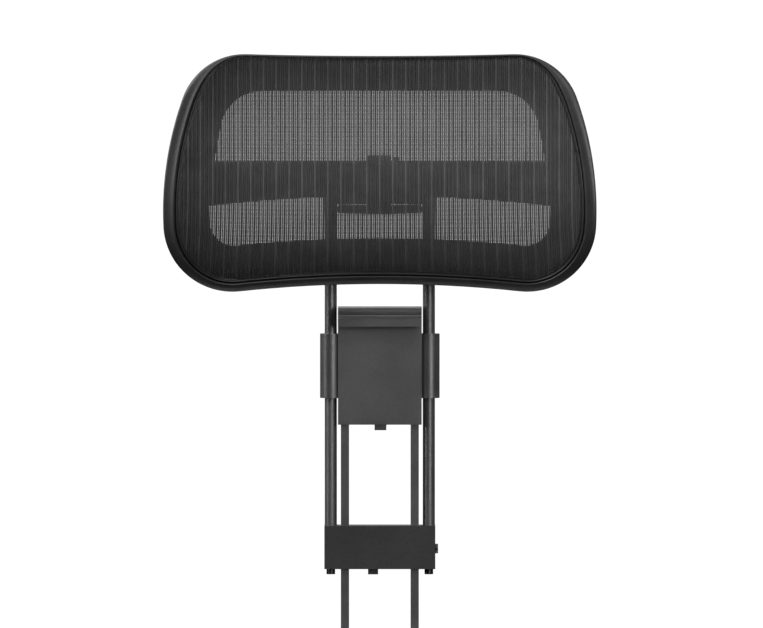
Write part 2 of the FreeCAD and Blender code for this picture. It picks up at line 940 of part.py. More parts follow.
def make_posts():
    nodes = {}
    back, foot = dim("post_back"), dim("post_foot")
    for side, direction in (("left", -1), ("right", 1)):
        x = dim("post_across") * direction
        bar = rod(
            f"post_{side}_bar", (x, back, foot), "+Z", dim("post_radius"), dim("post_top") - foot
        )
        thread = rod(
            f"post_{side}_thread",
            (x, back, foot),
            "+Z",
            dim("post_thread_radius"),
            dim("post_thread_depth"),
        )
        tie_hole = rod(
            f"post_{side}_tie_hole",
            (x, back, dim("tie_height")),
            "-X" if direction > 0 else "+X",
            dim("tie_hole_radius"),
            dim("post_radius") + dim("overlap"),
        )
        nodes[f"post_{side}"] = cut(f"post_{side}", bar, [thread, tie_hole])
    return nodes


def make_tie_rod():
    """A bar that sags slightly between the posts, with a pin at each end."""
    bow, reach = dim("tie_bow_radius"), dim("tie_reach")
    sweep = 2 * math.degrees(math.asin(reach.value / bow.value))
    centre_height = dim("tie_height") + root(bow * bow - reach * reach)
    bar = doc.addObject("Part::Torus", "tie_bar")
    bind(bar, "Radius1", bow)
    bind(bar, "Radius2", dim("tie_radius"))
    bar.setExpression("Angle3", f"2 * asin({reach.text} / {bow.text})")
    upright = FreeCAD.Rotation(FreeCAD.Vector(1, 0, 0), 90)
    start = FreeCAD.Rotation(FreeCAD.Vector(0, 0, 1), -90 - sweep / 2)
    bar.Placement = FreeCAD.Placement(
        FreeCAD.Vector(0, dim("post_back").value, centre_height.value), upright.multiply(start)
    )
    pins = [
        rod(
            f"tie_pin_{side}",
            (dim("tie_pin_start") * direction, dim("post_back"), dim("tie_height")),
            "+X" if direction > 0 else "-X",
            dim("tie_pin_radius"),
            dim("tie_pin_end") - dim("tie_pin_start"),
        )
        for side, direction in (("left", -1), ("right", 1))
    ]
    return {"tie_rod": fuse("tie_rod", [bar] + pins)}


def rail_slot(label, low, high, wall, x):
    """A block round a rail, wall thick on each side of it."""
    half_width = dim("rail_width") / 2 + wall
    half_depth = dim("rail_depth") / 2 + wall
    back = dim("post_back")
    return box(
        label, (x - half_width, back - half_depth, low), (x + half_width, back + half_depth, high)
    )


def make_carriage():
    across, back = dim("post_across"), dim("post_back")
    low, high = dim("carriage_low"), dim("carriage_high")
    front, rear = dim("carriage_front"), dim("carriage_back")
    half_width = dim("carriage_half_width")
    play, wall = dim("rail_play"), dim("slider_wall")
    block = box("carriage_bulk", (-half_width, front, low), (half_width, rear, high))
    tab = box(
        "carriage_tab",
        (dim("carriage_tab_left"), dim("carriage_tab_front"), dim("carriage_tab_low")),
        (dim("carriage_tab_right"), dim("carriage_tab_back"), low + dim("overlap")),
    )
    pinch = (half_width, dim("pinch_back"), dim("pinch_height"))
    inside = dim("rail_across") + dim("rail_width") / 2
    tools = [
        rod("pinch_hole", pinch, "-X", dim("medium_hole_radius"), half_width - inside - wall)
    ]
    sliders = []
    for side, direction in (("left", -1), ("right", 1)):
        x = dim("rail_across") * direction
        tools.append(rail_slot(f"carriage_slot_{side}", low, high, wall, x))
        tools.append(
            rod(
                f"carriage_post_hole_{side}",
                (across * direction, back, low),
                "+Z",
                dim("large_hole_radius"),
                high - low,
            )
        )
        hole = rod(
            f"slider_{side}_hole",
            (x, dim("pinch_back"), dim("pinch_height")),
            "+X",
            dim("medium_hole_radius"),
            dim("rail_width"),
        )
        opening = rail_slot(f"slider_{side}_opening", low, high, play, x)
        outside = rail_slot(f"slider_{side}_outside", low, high, wall, x)
        sliders.append(
            cut(f"slider_{side}", outside, [opening, hole] if direction > 0 else [opening])
        )
    cover_places = both_sides(dim("carriage_cover_screw_across"), dim("pinch_height"))
    cover_back = rear + dim("carriage_cover_thickness")
    tools += [
        rod(
            f"carriage_cover_thread_{i}",
            (x, rear, z),
            "-Y",
            dim("small_hole_radius"),
            dim("carriage_thread_depth"),
        )
        for i, (x, z) in enumerate(cover_places)
    ]
    cover = cut(
        "carriage_cover",
        box(
            "carriage_cover_plate",
            (-dim("carriage_cover_half_width"), rear, dim("carriage_cover_low")),
            (dim("carriage_cover_half_width"), cover_back, dim("carriage_cover_high")),
        ),
        [
            rod(
                f"carriage_cover_hole_{i}",
                (x, cover_back, z),
                "-Y",
                dim("small_hole_radius"),
                dim("carriage_cover_thickness") + dim("overlap"),
            )
            for i, (x, z) in enumerate(cover_places)
        ],
    )
    cover_screw = screw("carriage_cover_screw", "small", dim("small_length"))
    post_screw = screw(
        "post_screw", "large", high - low + dim("post_thread_depth") - dim("post_thread_spare")
    )
    pinch_screw = screw("pinch_screw", "medium", half_width - dim("pinch_split"))
    return {
        "carriage_block": cut("carriage_block", fuse("carriage_blank", [block, tab]), tools),
        "rail_sliders": gather("rail_sliders", sliders),
        "carriage_cover": cover,
        "carriage_screws": copies(
            "carriage_screws", cover_screw, [facing(x, cover_back, z, "+Y") for x, z in cover_places]
        ),
        "post_screws": copies(
            "post_screws",
            post_screw,
            [facing(x, y, low, "-Z") for x, y in both_sides(across, back)],
        ),
        "tension_screw": copies("tension_screw", pinch_screw, [facing(*pinch, "+X")]),
        "friction_pad": rod(
            "friction_pad",
            (inside + play / 2, dim("pinch_back"), dim("pinch_height")),
            "+X",
            dim("medium_shank_radius"),
            dim("pinch_split") - inside - play / 2,
        ),
    }


# ---------------------------------------------------------------- knob


def make_knob():
    """A notched disc with a blind bore that runs on the end of the axle."""
    owner = body("tension_knob")
    low, high = dim("knob_low"), dim("knob_high")
    disc = sketch(owner, "knob_disc", "YZ_Plane", low)
    draw_circles(disc, [(-dim("axle_front"), dim("axle_height"))], dim("knob_radius"))
    pad(owner, disc, high - low)
    notches = sketch(owner, "knob_notches", "YZ_Plane", low)
    count = int(dim("knob_notches").value)
    centres = [
        (
            dim("knob_radius") * cosine(360.0 * i / count) - dim("axle_front"),
            dim("knob_radius") * sine(360.0 * i / count) + dim("axle_height"),
        )
        for i in range(count)
    ]
    draw_circles(notches, centres, dim("knob_notch_radius"))
    pocket(owner, notches, high - low, along_normal=True)
    bore = sketch(owner, "knob_bore", "YZ_Plane", low)
    draw_circles(
        bore,
        [(-dim("axle_front"), dim("axle_height"))],
        dim("axle_radius") + dim("axle_play"),
    )
    pocket(owner, bore, dim("bolt_end") - low + dim("knob_bore_gap"), along_normal=True)
    return {"tension_knob": owner}


# ---------------------------------------------------------------- bracket, rails and foot


def rail_screw_places(heights, y):
    return [
        facing(x, y, dim(height), "+Y")
        for height in heights
        for (x,) in both_sides(dim("rail_across"))
    ]


def make_hook_bracket():
    owner = body("top_hook_bracket")
    front, seat = dim("hook_lip_front"), dim("seat_half_depth")
    back, low, top = dim("bracket_back"), dim("bracket_low"), dim("hook_top")
    rails, posts = dim("rail_across"), dim("post_across")
    nose = dim("nose_front")
    profile = sketch(owner, "hook_profile", "YZ_Plane")
    draw_loop(
        profile,
        [
            ((-front, dim("hook_lip_low")), None),
            ((-front, sized(0)), -dim("rib_radius")),
            ((-front, dim("rib_top")), None),
            ((-front, dim("nose_bottom")), None),
            ((-nose, dim("nose_bottom")), -dim("nose_radius")),
            ((dim("nose_radius") - nose, top), None),
            ((back, top), None),
            ((back, low), None),
            ((seat, low), None),
            ((seat, dim("hook_roof")), None),
            ((-seat, dim("hook_roof")), None),
            ((-seat, dim("hook_lip_low")), None),
        ],
    )
    pad(owner, profile, dim("hook_half_width") * 2, symmetric=True)
    sleeve_length = dim("sleeve_high") - dim("sleeve_low")
    sleeves = sketch(owner, "post_sleeves", "XY_Plane", dim("sleeve_low"))
    draw_circles(sleeves, both_sides(posts, dim("post_back")), dim("sleeve_radius"))
    pad(owner, sleeves, sleeve_length)
    tab = sketch(owner, "stop_tab", "XY_Plane", dim("tab_low"))
    draw_rectangle(
        tab, (dim("tab_left"), dim("tab_front")), (dim("tab_right"), dim("tab_back"))
    )
    pad(owner, tab, low - dim("tab_low") + dim("overlap"))
    bores = sketch(owner, "post_bores", "XY_Plane", dim("sleeve_high"))
    draw_circles(bores, both_sides(posts, dim("post_back")), dim("bush_radius"))
    pocket(owner, bores, sleeve_length)
    half_width = dim("rail_width") / 2 + dim("rail_play")
    half_depth = dim("rail_depth") / 2 + dim("rail_play")
    slots = sketch(owner, "rail_slots", "XY_Plane", dim("rail_top") + dim("rail_play"))
    for (x,) in both_sides(rails):
        draw_rectangle(
            slots,
            (x - half_width, dim("post_back") - half_depth),
            (x + half_width, dim("post_back") + half_depth),
        )
    pocket(owner, slots, dim("rail_top") + dim("rail_play") - low)
    heights = (dim("rail_screw_high"), dim("rail_screw_low"))
    holes = sketch(owner, "rail_screw_holes", "XZ_Plane", -back)
    draw_circles(
        holes, [p for z in heights for p in both_sides(rails, z)], dim("medium_hole_radius")
    )
    pocket(owner, holes, back - dim("post_back") - half_depth, along_normal=True)
    threads = sketch(owner, "cover_threads", "XZ_Plane", -back)
    draw_circles(
        threads,
        [(sized(0), dim("cover_screw_high")), (sized(0), dim("cover_screw_low"))],
        dim("small_hole_radius"),
    )
    pocket(owner, threads, dim("small_length"), along_normal=True)
    pad_reach = dim("hook_half_width") - dim("hook_pad_inset")
    seat_pad = box("hook_pad", (-pad_reach, -seat, 0), (pad_reach, seat, dim("hook_roof")))
    nodes = {"top_hook_bracket": owner, "hook_pad": seat_pad}
    for side, direction in (("left", -1), ("right", 1)):
        nodes[f"guide_bush_{side}"] = tube(
            f"guide_bush_{side}",
            (posts * direction, dim("post_back"), dim("sleeve_low")),
            "+Z",
            dim("bush_radius"),
            dim("post_radius") + dim("post_play"),
            sleeve_length,
        )
    return nodes


def make_rails():
    """Two flat bars from the bracket down to the foot, with threads for the screws at each end."""
    nodes = {}
    rear = dim("post_back") + dim("rail_depth") / 2
    for side, direction in (("left", -1), ("right", 1)):
        x = dim("rail_across") * direction
        holes = [
            rod(
                f"rail_{side}_hole_{name}",
                (x, rear, dim(name)),
                "-Y",
                dim("medium_hole_radius"),
                depth,
            )
            for name, depth in (
                ("rail_screw_high", dim("rail_screw_depth")),
                ("rail_screw_low", dim("rail_screw_depth")),
                ("foot_screw_high", dim("rail_depth")),
                ("foot_screw_low", dim("rail_depth")),
            )
        ]
        bar = rail_slot(f"rail_{side}_bar", dim("rail_foot"), dim("rail_top"), sized(0), x)
        nodes[f"rail_{side}"] = cut(f"rail_{side}", bar, holes)
    gap = dim("bracket_back") - rear
    spare = dim("screw_spare")
    top_screw = screw("rail_screw", "medium", gap + dim("rail_screw_depth") - spare)
    foot_screw = screw("foot_screw", "medium", dim("rail_depth") + dim("foot_thickness") - spare)
    nodes["rail_screws"] = copies(
        "rail_screws",
        top_screw,
        rail_screw_places(("rail_screw_high", "rail_screw_low"), dim("bracket_back")),
    )
    nodes["foot_screws"] = copies(
        "foot_screws", foot_screw, rail_screw_places(("foot_screw_high", "foot_screw_low"), rear)
    )
    return nodes


def foot_outline():
    half_width, corner = dim("foot_half_width"), dim("foot_corner")
    low, high = dim("foot_low"), dim("foot_high")
    return [
        ((half_width - corner, low), corner),
        ((half_width, low + corner), None),
        ((half_width, high - corner), corner),
        ((half_width - corner, high), None),
        ((corner - half_width, high), corner),
        ((-half_width, high - corner), None),
        ((-half_width, low + corner), corner),
        ((corner - half_width, low), None),
    ]


def make_foot():
    """A plate in front of the rails, with a rubber facing, that bolts to the lower part of the back."""
    front = dim("post_back") - dim("rail_depth") / 2
    bolts = both_sides(dim("foot_bolt_across"), dim("foot_bolt_height"))
    plate = body("foot_bracket")
    drawing = sketch(plate, "foot_plate", "XZ_Plane", -front)
    draw_loop(drawing, foot_outline())
    draw_circles(drawing, bolts, dim("foot_bolt_radius"))
    heights = (dim("foot_screw_high"), dim("foot_screw_low"))
    draw_circles(
        drawing,
        [p for z in heights for p in both_sides(dim("rail_across"), z)],
        dim("medium_hole_radius"),
    )
    pad(plate, drawing, dim("foot_thickness"))
    facing_pad = body("foot_pad")
    drawing = sketch(facing_pad, "foot_facing", "XZ_Plane", dim("foot_thickness") - front)
    draw_loop(drawing, foot_outline())
    draw_circles(drawing, bolts, dim("foot_bolt_radius"))
    pad(facing_pad, drawing, dim("foot_pad_thickness"))
    return {"foot_bracket": plate, "foot_pad": facing_pad}


def make_rear_cover():
    """A hollow cap over the rail screws, held by two small screws."""
    half_width, wall = dim("cover_half_width"), dim("cover_wall")
    low, high = dim("cover_low"), dim("cover_high")
    front = dim("bracket_back")
    rear = front + dim("cover_depth")
    heights = (dim("cover_screw_high"), dim("cover_screw_low"))
    shell = cut(
        "cover_shell",
        box("cover_outside", (-half_width, front, low), (half_width, rear, high)),
        [
            box(
                "cover_inside",
                (wall - half_width, front, low + wall),
                (half_width - wall, rear - wall, high - wall),
            )
        ],
    )
    depth = dim("cover_depth")
    bosses = [
        rod(f"cover_boss_{i}", (0, rear, z), "-Y", dim("cover_boss_radius"), depth)
        for i, z in enumerate(heights)
    ]
    holes = [
        rod(f"cover_hole_{i}", (0, rear, z), "-Y", dim("small_hole_radius"), depth)
        for i, z in enumerate(heights)
    ]
    fastener = screw("cover_screw", "small", depth + dim("small_length") - dim("screw_spare"))
    return {
        "bracket_rear_cover": cut(
            "bracket_rear_cover", fuse("cover_blank", [shell] + bosses), holes
        ),
        "cover_screws": copies(
            "cover_screws", fastener, [facing(0, rear, z, "+Y") for z in heights]
        ),
    }


# ---------------------------------------------------------------- build, check and write

nodes = {}
for make in (
    make_hook_bracket,
    make_rails,
    make_foot,
    make_rear_cover,
    make_posts,
    make_tie_rod,
    make_crosshead,
    make_axle,
    make_carriage,
    make_head,
    make_tilt_bracket,
    make_knob,
):
    nodes.update(make())
doc.recompute()

for thing in doc.Objects:
    if "Invalid" in thing.State or "Error" in thing.State:
        raise RuntimeError(f"{thing.Label} did not build: {thing.State}")
for name, node in nodes.items():
    if node.Shape.isNull() or not node.Shape.isValid() or not node.Shape.Solids:
        raise RuntimeError(f"{name} has no valid solid")

os.makedirs("parts", exist_ok=True)
for name, node in nodes.items():
    node.Label = name
    node.Shape.exportStep(f"parts/{name}.step")
    extent = node.Shape.BoundBox
    print(
        f"{name:20s} solids {len(node.Shape.Solids)}  volume {node.Shape.Volume / 1000:8.2f} cm3  "
        f"x {extent.XMin:7.1f} {extent.XMax:6.1f}  y {extent.YMin:6.1f} {extent.YMax:6.1f}  "
        f"z {extent.ZMin:7.1f} {extent.ZMax:6.1f}"
    )
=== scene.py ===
import json
import math

import bmesh
import bpy
import numpy as np
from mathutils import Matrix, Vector


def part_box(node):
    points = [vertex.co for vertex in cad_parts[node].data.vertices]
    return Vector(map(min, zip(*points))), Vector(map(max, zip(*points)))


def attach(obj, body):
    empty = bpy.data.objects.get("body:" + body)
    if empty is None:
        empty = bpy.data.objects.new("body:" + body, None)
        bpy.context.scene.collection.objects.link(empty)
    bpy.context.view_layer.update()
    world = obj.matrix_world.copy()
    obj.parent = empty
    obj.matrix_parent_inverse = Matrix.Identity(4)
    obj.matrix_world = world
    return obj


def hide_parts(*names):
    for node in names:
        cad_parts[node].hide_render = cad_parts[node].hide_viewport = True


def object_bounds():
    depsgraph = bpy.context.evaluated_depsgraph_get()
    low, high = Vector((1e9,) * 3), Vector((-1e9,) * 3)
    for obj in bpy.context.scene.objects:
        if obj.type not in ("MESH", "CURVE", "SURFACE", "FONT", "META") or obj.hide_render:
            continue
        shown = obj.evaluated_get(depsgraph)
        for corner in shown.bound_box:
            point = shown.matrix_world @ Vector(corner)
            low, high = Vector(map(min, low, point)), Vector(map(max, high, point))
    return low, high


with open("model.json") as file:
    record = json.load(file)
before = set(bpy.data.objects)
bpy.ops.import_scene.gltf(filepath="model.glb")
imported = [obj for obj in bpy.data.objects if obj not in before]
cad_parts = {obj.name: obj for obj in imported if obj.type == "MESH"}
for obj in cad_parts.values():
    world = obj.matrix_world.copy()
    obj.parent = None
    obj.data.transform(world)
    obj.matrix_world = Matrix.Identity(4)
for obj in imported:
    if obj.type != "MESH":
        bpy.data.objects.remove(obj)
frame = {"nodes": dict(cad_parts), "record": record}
cad_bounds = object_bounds()

# Everything is in metres, in the frame of the CAD: +Z up, and the sitter's side is -Y.
MM = 0.001
# The head bends round an upright line in front of the origin, and below a certain height it also rolls back
# round a level line behind it. Depths are measured back from the rim's front.
BEND_FRONT = 504 * MM
ROLL_HEIGHT = 108 * MM
ROLL_RADIUS = 309 * MM


# ---------------------------------------------------------------- outlines, read from the frame


def bend_radius(point):
    return math.hypot(point.x, point.y + BEND_FRONT)


def on_bend(x, radius):
    """The y of the upright wall of that radius, at x."""
    return np.sqrt(radius**2 - np.asarray(x) ** 2) - BEND_FRONT


def rolled_back(z, depth):
    """How much larger the radius of the wall at that depth is at z than where it is upright."""
    arc = ROLL_RADIUS - depth
    return arc - np.sqrt(arc**2 - np.maximum(ROLL_HEIGHT - np.asarray(z), 0) ** 2)


RIM_FRONT = min(bend_radius(v.co) for v in frame["nodes"]["rim_frame"].data.vertices)
RIM_DEPTH = (
    max(
        bend_radius(v.co)
        for v in frame["nodes"]["rim_frame"].data.vertices
        if v.co.z > ROLL_HEIGHT
    )
    - RIM_FRONT
)


def outer_corners(node, tolerance=0.2 * MM, level=0.02):
    """The front corners of a ring's outer wall, in order round the head."""
    mesh = frame["nodes"][node].data
    low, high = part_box(node)
    middle = (low + high) / 2
    radii = [bend_radius(v.co) for v in mesh.vertices]
    front = min(radii)
    radii = [r - rolled_back(v.co.z, front - RIM_FRONT) for r, v in zip(radii, mesh.vertices)]
    found = {}
    for face in mesh.polygons:
        away = face.center - middle
        faces_out = away.x * face.normal.x + away.z * face.normal.z > 0
        if abs(face.normal.y) > level or not faces_out:
            continue
        for i in face.vertices:
            if radii[i] < front + tolerance:
                point = mesh.vertices[i].co
                key = (round(point.x, 6), round(point.z, 6))
                found[key] = math.atan2(point.z - middle.z, point.x - middle.x)
    return np.array(sorted(found, key=found.get))


class Outline:
    """A smooth closed curve in x and z through the corners of a CAD wall."""

    def __init__(self, points):
        self.points = points
        following = np.roll(points, -1, axis=0)
        steps = np.linalg.norm(following - points, axis=1)
        self.at = np.concatenate([[0], np.cumsum(steps)])
        self.length = self.at[-1]
        before = np.roll(points, 1, axis=0)
        back = np.roll(steps, 1)[:, None]
        ahead = steps[:, None]
        slope_in, slope_out = (points - before) / back, (following - points) / ahead
        self.slopes = (slope_in * ahead + slope_out * back) / (ahead + back)

    def sample(self, distances):
        """Points at those distances along the curve."""
        distances = np.mod(distances, self.length)
        i = np.searchsorted(self.at, distances, side="right") - 1
        i = np.clip(i, 0, len(self.points) - 1)
        j = (i + 1) % len(self.points)
        span = (self.at[i + 1] - self.at[i])[:, None]
        t = ((distances - self.at[i]) / span[:, 0])[:, None]
        return (
            (2 * t**3 - 3 * t**2 + 1) * self.points[i]
            + (t**3 - 2 * t**2 + t) * span * self.slopes[i]
            + (3 * t**2 - 2 * t**3) * self.points[j]
            + (t**3 - t**2) * span * self.slopes[j]
        )

    def spaced(self, count):
        return self.sample(np.linspace(0, self.length, count, endpoint=False))

    def crossings(self, axis, value, samples=2400):
        """The lowest and highest other coordinate where the curve has that x (axis 0) or z (axis 1)."""
        curve = self.spaced(samples)
        here, there = curve, np.roll(curve, -1, axis=0)
        side = (here[:, axis] - value) * (there[:, axis] - value) < 0
        a, b = here[side], there[side]
        t = (value - a[:, axis]) / (b[:, axis] - a[:, axis])
        other = a[:, 1 - axis] + t * (b[:, 1 - axis] - a[:, 1 - axis])
        return (other.min(), other.max()) if len(other) > 1 else None


def outward_normals(points):
    ahead, behind = np.roll(points, -1, axis=0), np.roll(points, 1, axis=0)
    along = ahead - behind
    normals = np.stack([along[:, 1], -along[:, 0]], axis=1)
    return normals / np.linalg.norm(normals, axis=1)[:, None]


# ---------------------------------------------------------------- meshes


def mesh_object(name, vertices, faces, smooth=True):
    data = bpy.data.meshes.new(name)
    data.from_pydata([tuple(v) for v in vertices], [], faces)
    data.update()
    obj = bpy.data.objects.new(name, data)
    bpy.context.scene.collection.objects.link(obj)
    if smooth:
        data.shade_smooth()
    return obj


def ring(name, sections):
    """A closed ring lofted through closed sections: sections[station][point] are places."""
    stations, count = len(sections), len(sections[0])
    vertices = np.asarray(sections).reshape(-1, 3)
    faces = []
    for s in range(stations):
        after = (s + 1) % stations
        for p in range(count):
            q = (p + 1) % count
            faces.append(
                (s * count + p, s * count + q, after * count + q, after * count + p)
            )
    return mesh_object(name, vertices, faces)


def face_outward(obj):
    """Turns the faces so that their normals point out of the closed mesh."""
    work = bmesh.new()
    work.from_mesh(obj.data)
    bmesh.ops.recalc_face_normals(work, faces=work.faces)
    if work.calc_volume(signed=True) < 0:
        bmesh.ops.reverse_faces(work, faces=work.faces)
    work.to_mesh(obj.data)
    work.free()
    obj.data.shade_smooth()
    return obj


# ---------------------------------------------------------------- materials


def new_material(name):
    material = bpy.data.materials.new(name)
    material.use_nodes = True
    nodes, links = material.node_tree.nodes, material.node_tree.links
    return material, nodes, links, nodes["Principled BSDF"]


def noise(nodes, links, coordinates, scale, detail=2.0, roughness=0.5):
    texture = nodes.new("ShaderNodeTexNoise")
    texture.inputs["Scale"].default_value = scale
    texture.inputs["Detail"].default_value = detail
    texture.inputs["Roughness"].default_value = roughness
    links.new(coordinates, texture.inputs["Vector"])
    return texture.outputs["Fac"]


def spread(nodes, links, value, low, high, out_low, out_high):
    """Maps a value from one range to another, and holds it there."""
    mapping = nodes.new("ShaderNodeMapRange")
    for name, number in (
        ("From Min", low),
        ("From Max", high),
        ("To Min", out_low),
        ("To Max", out_high),
    ):
        mapping.inputs[name].default_value = number
    links.new(value, mapping.inputs["Value"])
    return mapping.outputs["Result"]


def mixed_colour(nodes, links, factor, first, second):
    mix = nodes.new("ShaderNodeMix")
    mix.data_type = "RGBA"
    mix.inputs[6].default_value = (*first, 1)
    mix.inputs[7].default_value = (*second, 1)
    links.new(factor, mix.inputs[0])
    return mix.outputs[2]


# Painted shade: how much of its colour the head keeps at these heights. It is painted darker below, where the
# real one is in shade, and its mesh also above, in the rim's shadow.
PAINTED_SHADE_HEIGHTS = (30 * MM, 205 * MM)
RIM_PAINTED_SHADE = ((0.0, 0.42), (0.5, 1.0))
MESH_PAINTED_SHADE = ((0.0, 0.32), (0.5, 1.0), (0.68, 1.0), (1.0, 0.50))


def with_painted_shade(nodes, links, coordinates, colour, stops):
    """The colour with painted shade, darkened by height up the head."""
    axes = nodes.new("ShaderNodeSeparateXYZ")
    links.new(coordinates, axes.inputs[0])
    ramp = nodes.new("ShaderNodeValToRGB")
    ramp.color_ramp.interpolation = "EASE"
    for i, (place, share) in enumerate(stops):
        points = ramp.color_ramp.elements
        point = points[i] if i < 2 else points.new(place)
        point.position, point.color = place, (share, share, share, 1)
    links.new(spread(nodes, links, axes.outputs["Z"], *PAINTED_SHADE_HEIGHTS, 0, 1), ramp.inputs[0])
    shade = nodes.new("ShaderNodeMix")
    shade.data_type = "RGBA"
    shade.blend_type = "MULTIPLY"
    shade.inputs[0].default_value = 1.0
    links.new(colour, shade.inputs[6])
    links.new(ramp.outputs["Color"], shade.inputs[7])
    return shade.outputs[2]


def moulded(
    name, shade, roughness, grain, depth, specular=0.4, metallic=0.0, mottling=0.18, painted_shade=None
):
    """Moulded plastic or a textured coat: a fine grain of that size, with slightly uneven shade and gloss,
    and painted shade by height where it is asked for.
    """
    material, nodes, links, shader = new_material(name)
    coordinates = nodes.new("ShaderNodeTexCoord").outputs["Object"]
    fine = noise(nodes, links, coordinates, 1 / grain, detail=3.0, roughness=0.6)
    broad = noise(nodes, links, coordinates, 28.0, detail=3.0)
    speckle = noise(nodes, links, coordinates, 0.6 / grain, detail=1.0)
    darker = tuple(c * (1 - mottling) for c in shade)
    lighter = tuple(c * (1 + mottling) for c in shade)
    tone = nodes.new("ShaderNodeMath")
    tone.operation = "ADD"
    links.new(spread(nodes, links, broad, 0.35, 0.65, 0, 0.45), tone.inputs[0])
    links.new(spread(nodes, links, speckle, 0.35, 0.65, 0, 0.55), tone.inputs[1])
    colour = mixed_colour(nodes, links, tone.outputs[0], darker, lighter)
    # Painted shade: darkens the colour by height up the head, where the real one lies in shade.
    if painted_shade:
        colour = with_painted_shade(nodes, links, coordinates, colour, painted_shade)
    links.new(colour, shader.inputs["Base Color"])
    links.new(
        spread(nodes, links, broad, 0.3, 0.7, roughness - 0.05, roughness + 0.06),
        shader.inputs["Roughness"],
    )
    bump = nodes.new("ShaderNodeBump")
    bump.inputs["Strength"].default_value = 0.5
    bump.inputs["Distance"].default_value = depth
    links.new(fine, bump.inputs["Height"])
    links.new(bump.outputs["Normal"], shader.inputs["Normal"])
    shader.inputs["Specular IOR Level"].default_value = specular
    shader.inputs["Metallic"].default_value = metallic
    return material


def brushed(name, shade, roughness, along, metallic=1.0):
    """Drawn or turned metal with fine lines: along is how much finer the noise is on each axis."""
    material, nodes, links, shader = new_material(name)
    coordinates = nodes.new("ShaderNodeTexCoord").outputs["Object"]
    stretch = nodes.new("ShaderNodeMapping")
    stretch.inputs["Scale"].default_value = along
    links.new(coordinates, stretch.inputs["Vector"])
    lines = noise(nodes, links, stretch.outputs["Vector"], 1.0, detail=4.0, roughness=0.65)
    broad = noise(nodes, links, coordinates, 40.0, detail=2.0)
    links.new(
        mixed_colour(
            nodes,
            links,
            spread(nodes, links, lines, 0.3, 0.7, 0, 1),
            tuple(c * 0.86 for c in shade),
            tuple(c * 1.12 for c in shade),
        ),
        shader.inputs["Base Color"],
    )
    links.new(
        spread(nodes, links, broad, 0.3, 0.7, roughness - 0.04, roughness + 0.06),
        shader.inputs["Roughness"],
    )
    bump = nodes.new("ShaderNodeBump")
    bump.inputs["Strength"].default_value = 0.25
    bump.inputs["Distance"].default_value = 0.02 * MM
    links.new(lines, bump.inputs["Height"])
    links.new(bump.outputs["Normal"], shader.inputs["Normal"])
    shader.inputs["Metallic"].default_value = metallic
    return material


def woven(name, shade, pitch, along):
    """A thread of the mesh: fine twisted fibres across its length, with a soft sheen and painted shade by
    height.
    """
    material, nodes, links, shader = new_material(name)
    coordinates = nodes.new("ShaderNodeTexCoord").outputs["Object"]
    stretch = nodes.new("ShaderNodeMapping")
    stretch.inputs["Scale"].default_value = along
    links.new(coordinates, stretch.inputs["Vector"])
    fibres = noise(nodes, links, stretch.outputs["Vector"], 1 / pitch, detail=3.0, roughness=0.6)
    broad = noise(nodes, links, coordinates, 55.0, detail=4.0, roughness=0.6)
    colour = mixed_colour(
        nodes,
        links,
        spread(nodes, links, broad, 0.3, 0.7, 0, 1),
        tuple(c * 0.82 for c in shade),
        tuple(c * 1.2 for c in shade),
    )
    # Painted shade: the mesh is darker towards its bottom and at its top, where the real one is in shade.
    colour = with_painted_shade(nodes, links, coordinates, colour, MESH_PAINTED_SHADE)
    links.new(colour, shader.inputs["Base Color"])
    shader.inputs["Roughness"].default_value = 0.62
    shader.inputs["Specular IOR Level"].default_value = 0.3
    shader.inputs["Sheen Weight"].default_value = 0.15
    shader.inputs["Sheen Roughness"].default_value = 0.5
    bump = nodes.new("ShaderNodeBump")
    bump.inputs["Strength"].default_value = 0.6
    bump.inputs["Distance"].default_value = 0.06 * MM
    links.new(fibres, bump.inputs["Height"])
    links.new(bump.outputs["Normal"], shader.inputs["Normal"])
    return material


def grey(value):
    return (value, value * 1.005, value * 1.03)


MATERIALS = {
    # The rim and carrier plastics, like the mesh threads below, carry painted shade by height.
    "rim_plastic": moulded(
        "rim_plastic", grey(0.046), 0.36, 0.9 * MM, 0.07 * MM, 0.5, painted_shade=RIM_PAINTED_SHADE
    ),
    "shell_plastic": moulded("shell_plastic", grey(0.032), 0.58, 0.45 * MM, 0.05 * MM, 0.35),
    "carrier_plastic": moulded(
        "carrier_plastic", grey(0.040), 0.32, 0.25 * MM, 0.02 * MM, 0.5, painted_shade=RIM_PAINTED_SHADE
    ),
    "powder_coat": moulded(
        "powder_coat", grey(0.17), 0.38, 0.8 * MM, 0.06 * MM, 0.5, metallic=0.75, mottling=0.08
    ),
    "cast_alloy": moulded("cast_alloy", grey(0.034), 0.52, 0.8 * MM, 0.08 * MM, 0.45),
    "cover_plastic": moulded("cover_plastic", grey(0.030), 0.55, 0.4 * MM, 0.05 * MM, 0.35),
    "knob_plastic": moulded("knob_plastic", grey(0.028), 0.42, 0.25 * MM, 0.02 * MM, 0.4),
    "slide_plastic": moulded("slide_plastic", grey(0.045), 0.38, 0.3 * MM, 0.01 * MM, 0.4),
    "rubber": moulded("rubber", grey(0.020), 0.78, 0.5 * MM, 0.06 * MM, 0.25),
    "post_coat": brushed("post_coat", grey(0.19), 0.40, (2500, 2500, 60), metallic=0.8),
    "black_steel": brushed("black_steel", grey(0.10), 0.34, (3000, 3000, 3000)),
    "spring_steel": brushed("spring_steel", grey(0.42), 0.3, (3000, 3000, 3000)),
    "mesh_fabric": woven("mesh_fabric", grey(0.074), 0.4 * MM, (1, 1, 0.25)),
    "mesh_stripe": woven("mesh_stripe", grey(0.135), 0.4 * MM, (1, 1, 0.25)),
    "mesh_weft": woven("mesh_weft", grey(0.065), 0.4 * MM, (0.25, 1, 1)),
}


